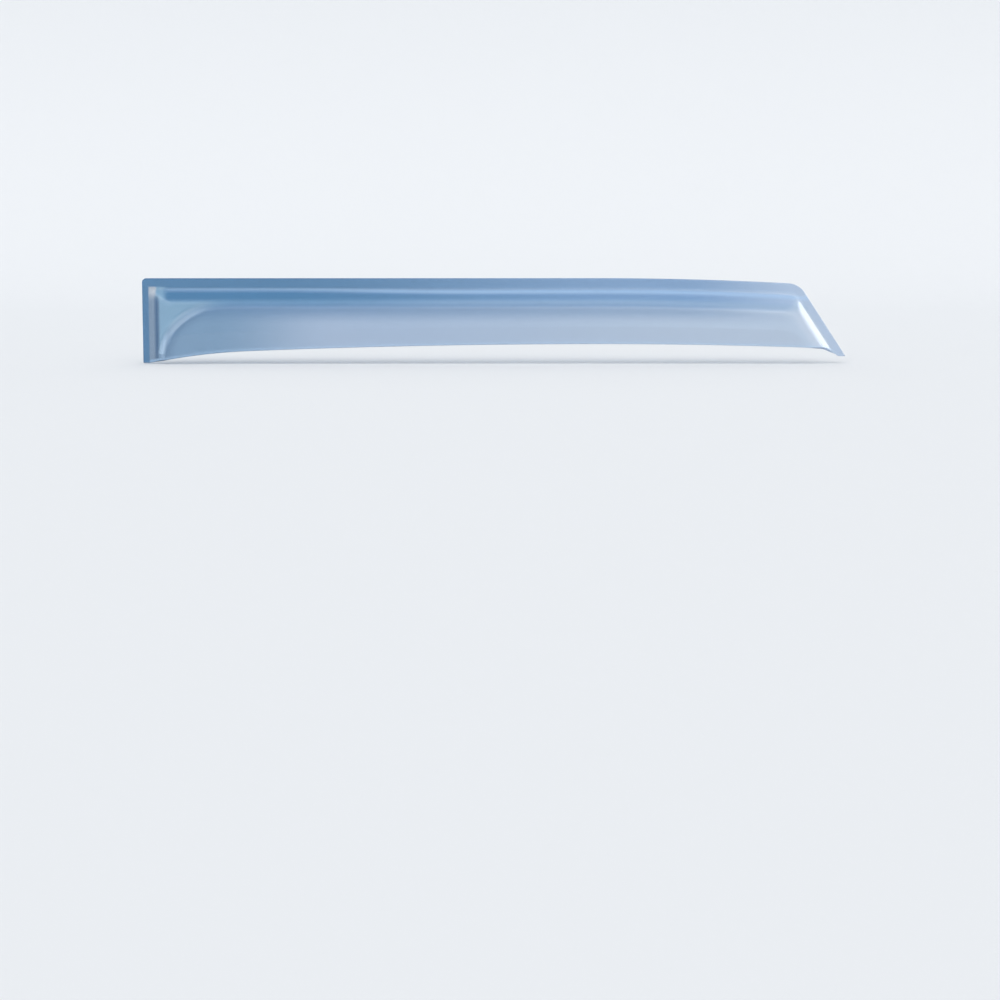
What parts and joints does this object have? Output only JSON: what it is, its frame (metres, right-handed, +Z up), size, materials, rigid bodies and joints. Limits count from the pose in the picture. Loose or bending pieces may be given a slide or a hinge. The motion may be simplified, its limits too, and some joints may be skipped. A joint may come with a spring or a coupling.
{
  "type": "window rain deflector",
  "caption": "Clear blue-tinted acrylic sheet formed with a flange, a sloping shoulder and a blade that keeps rain off an opened rear door window.",
  "frame": {"origin": "on the flange's inner face, midway along the sheet that shows and midway up the flange", "axes": "+X rearward along the door, +Y into the car out of the flange's inner face, +Z up"},
  "size_m": [0.6685, 0.018, 0.0803],
  "materials": {
    "clear_acrylic": "clear with a light blue tint, glossy on both faces, polished bottom edge"
  },
  "bodies": {
    "root": {"deflector": "clear_acrylic"}
  },
  "joints": []
}
